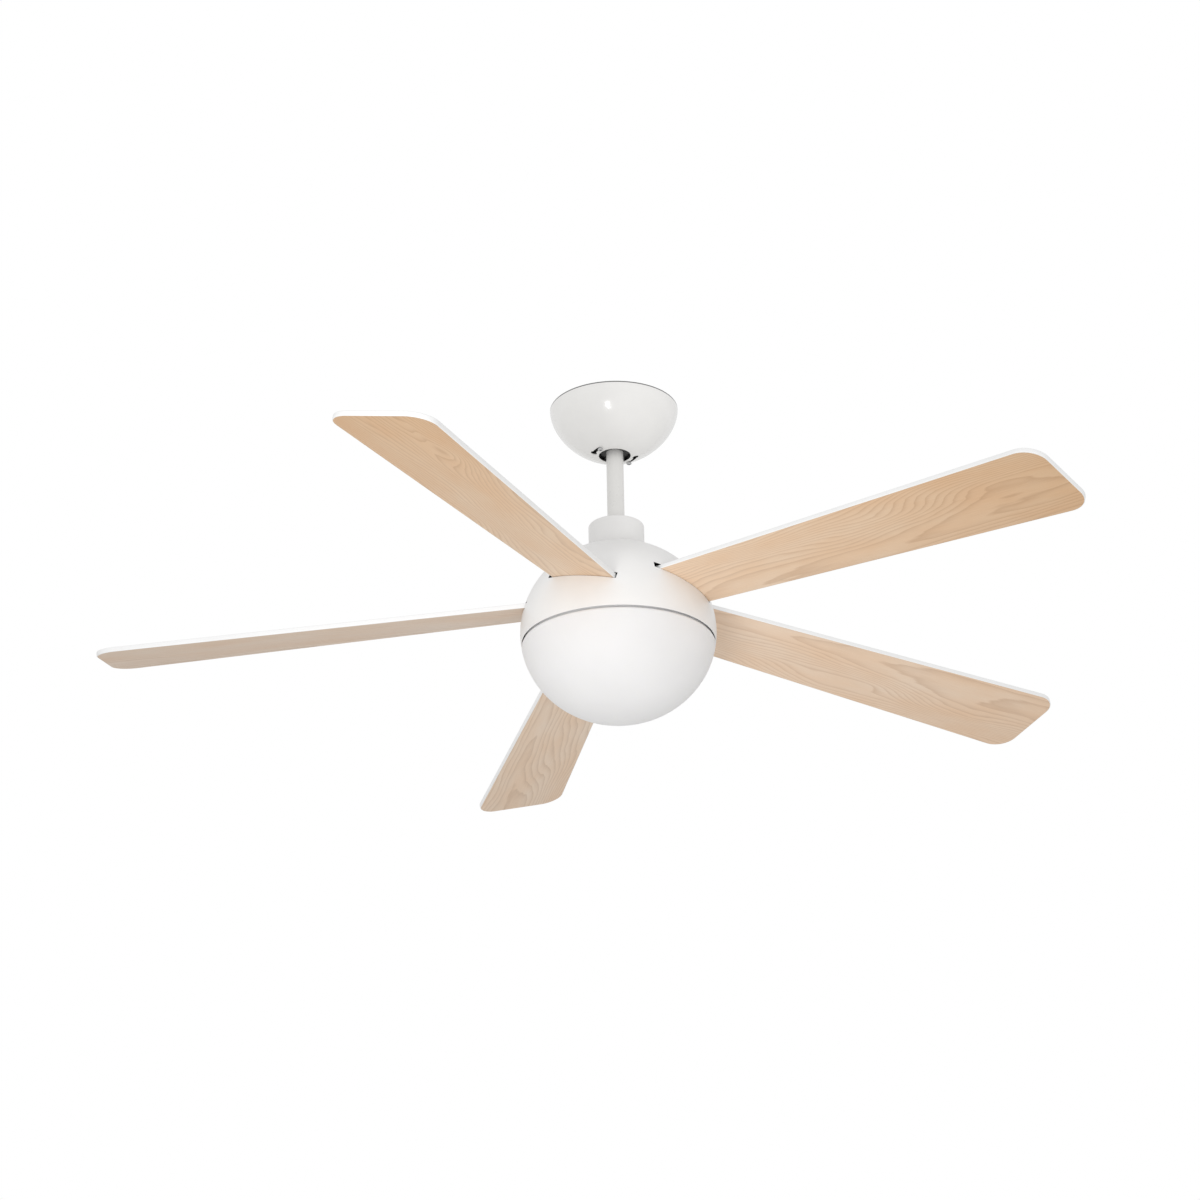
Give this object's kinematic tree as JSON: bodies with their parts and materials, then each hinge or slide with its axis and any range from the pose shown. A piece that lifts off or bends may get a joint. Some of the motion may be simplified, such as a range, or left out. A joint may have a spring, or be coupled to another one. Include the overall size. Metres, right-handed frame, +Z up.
{
  "type": "ceiling fan with light",
  "caption": "Ceiling fan on a short down rod: bowl canopy, slotted ball housing that turns with pitched wooden blades, and an opal dome light below.",
  "frame": {"origin": "centre of the ceiling plane, midway between the bracket's two slots", "axes": "+Z up along the fan's spin axis, into the ceiling; X along the line of the two ceiling slots; the whole fan hangs below z = 0"},
  "size_m": [1.2461, 1.2732, 0.4308],
  "materials": {
    "zinc_steel": "zinc-plated pressed steel",
    "fastener_steel": "bright fastener",
    "bearing_steel": "ground bearing steel",
    "shaft_steel": "turned steel",
    "dark_cast": "black phosphate casting",
    "cast_aluminium": "die-cast, as cast",
    "white_gloss": "gloss white powder coat",
    "white_satin": "satin white powder coat",
    "black_paint": "black dip-painted pressed steel",
    "black_nylon": "glass-filled nylon",
    "white_nylon": "moulded nylon",
    "grey_plastic": "moulded plastic box",
    "lead_insulation": "PVC wire insulation",
    "lamination": "stacked electrical steel",
    "copper_wire": "enamelled copper wire",
    "magnet": "ferrite magnet",
    "circuit_board": "white solder mask",
    "led_phosphor": "phosphor in silicone",
    "maple_blade": "maple face, white painted edges and top",
    "opal_glass": "opal white, satin outside"
  },
  "bodies": {
    "ceiling_mount": {"ceiling_bracket": "black_paint", "canopy_screws": "fastener_steel", "terminal_block": "white_nylon", "receiver_box": "grey_plastic"},
    "canopy_cover": {"canopy": "white_gloss"},
    "hanging_stem": {"hanger_ball": "black_nylon", "hanger_pin": "fastener_steel", "ball_screw": "fastener_steel", "down_rod": "white_gloss", "supply_leads": "lead_insulation", "lead_plug": "white_nylon", "coupling": "dark_cast", "clevis_pin": "fastener_steel", "clevis_clip": "fastener_steel", "coupling_screws": "fastener_steel", "collar": "white_satin", "motor_shaft": "shaft_steel", "upper_bearing_inner": "bearing_steel", "lower_bearing_inner": "bearing_steel", "stator_core": "lamination", "stator_windings": "copper_wire", "shaft_clip": "fastener_steel", "lamp_pan": "white_satin", "shaft_nuts": "zinc_steel", "led_driver": "grey_plastic", "led_board": "circuit_board", "led_chips": "led_phosphor", "led_board_screws": "fastener_steel"},
    "rotor": {"rotor_cup": "cast_aluminium", "magnets": "magnet", "rotor_lid": "cast_aluminium", "rotor_screws": "fastener_steel", "upper_bearing_outer": "bearing_steel", "lower_bearing_outer": "bearing_steel", "upper_bearing_balls": "bearing_steel", "lower_bearing_balls": "bearing_steel", "housing": "white_satin", "housing_screws": "fastener_steel", "blade_arm_1": "cast_aluminium", "blade_arm_2": "cast_aluminium", "blade_arm_3": "cast_aluminium", "blade_arm_4": "cast_aluminium", "blade_arm_5": "cast_aluminium", "arm_screws": "fastener_steel", "blade_1": "maple_blade", "blade_2": "maple_blade", "blade_3": "maple_blade", "blade_4": "maple_blade", "blade_5": "maple_blade", "blade_screws": "fastener_steel"},
    "light_cover": {"dome": "opal_glass", "dome_ring": "zinc_steel"}
  },
  "joints": [
    {"name": "canopy_twist", "type": "hinge", "parent": "ceiling_mount", "child": "canopy_cover", "pos_m": [0, 0, -0.033], "axis": [0, 0, 1], "range_deg": [0, 34]},
    {"name": "hanger_swing", "type": "hinge", "parent": "ceiling_mount", "child": "hanging_stem", "pos_m": [0, 0, -0.0415], "axis": [1, 0, 0], "range_deg": [-17, 17]},
    {"name": "rotor_spin", "type": "hinge", "parent": "hanging_stem", "child": "rotor", "pos_m": [0, 0, -0.247], "axis": [0, 0, 1], "continuous": true},
    {"name": "dome_twist", "type": "hinge", "parent": "hanging_stem", "child": "light_cover", "pos_m": [0, 0, -0.323], "axis": [0, 0, 1], "range_deg": [0, 20]}
  ]
}
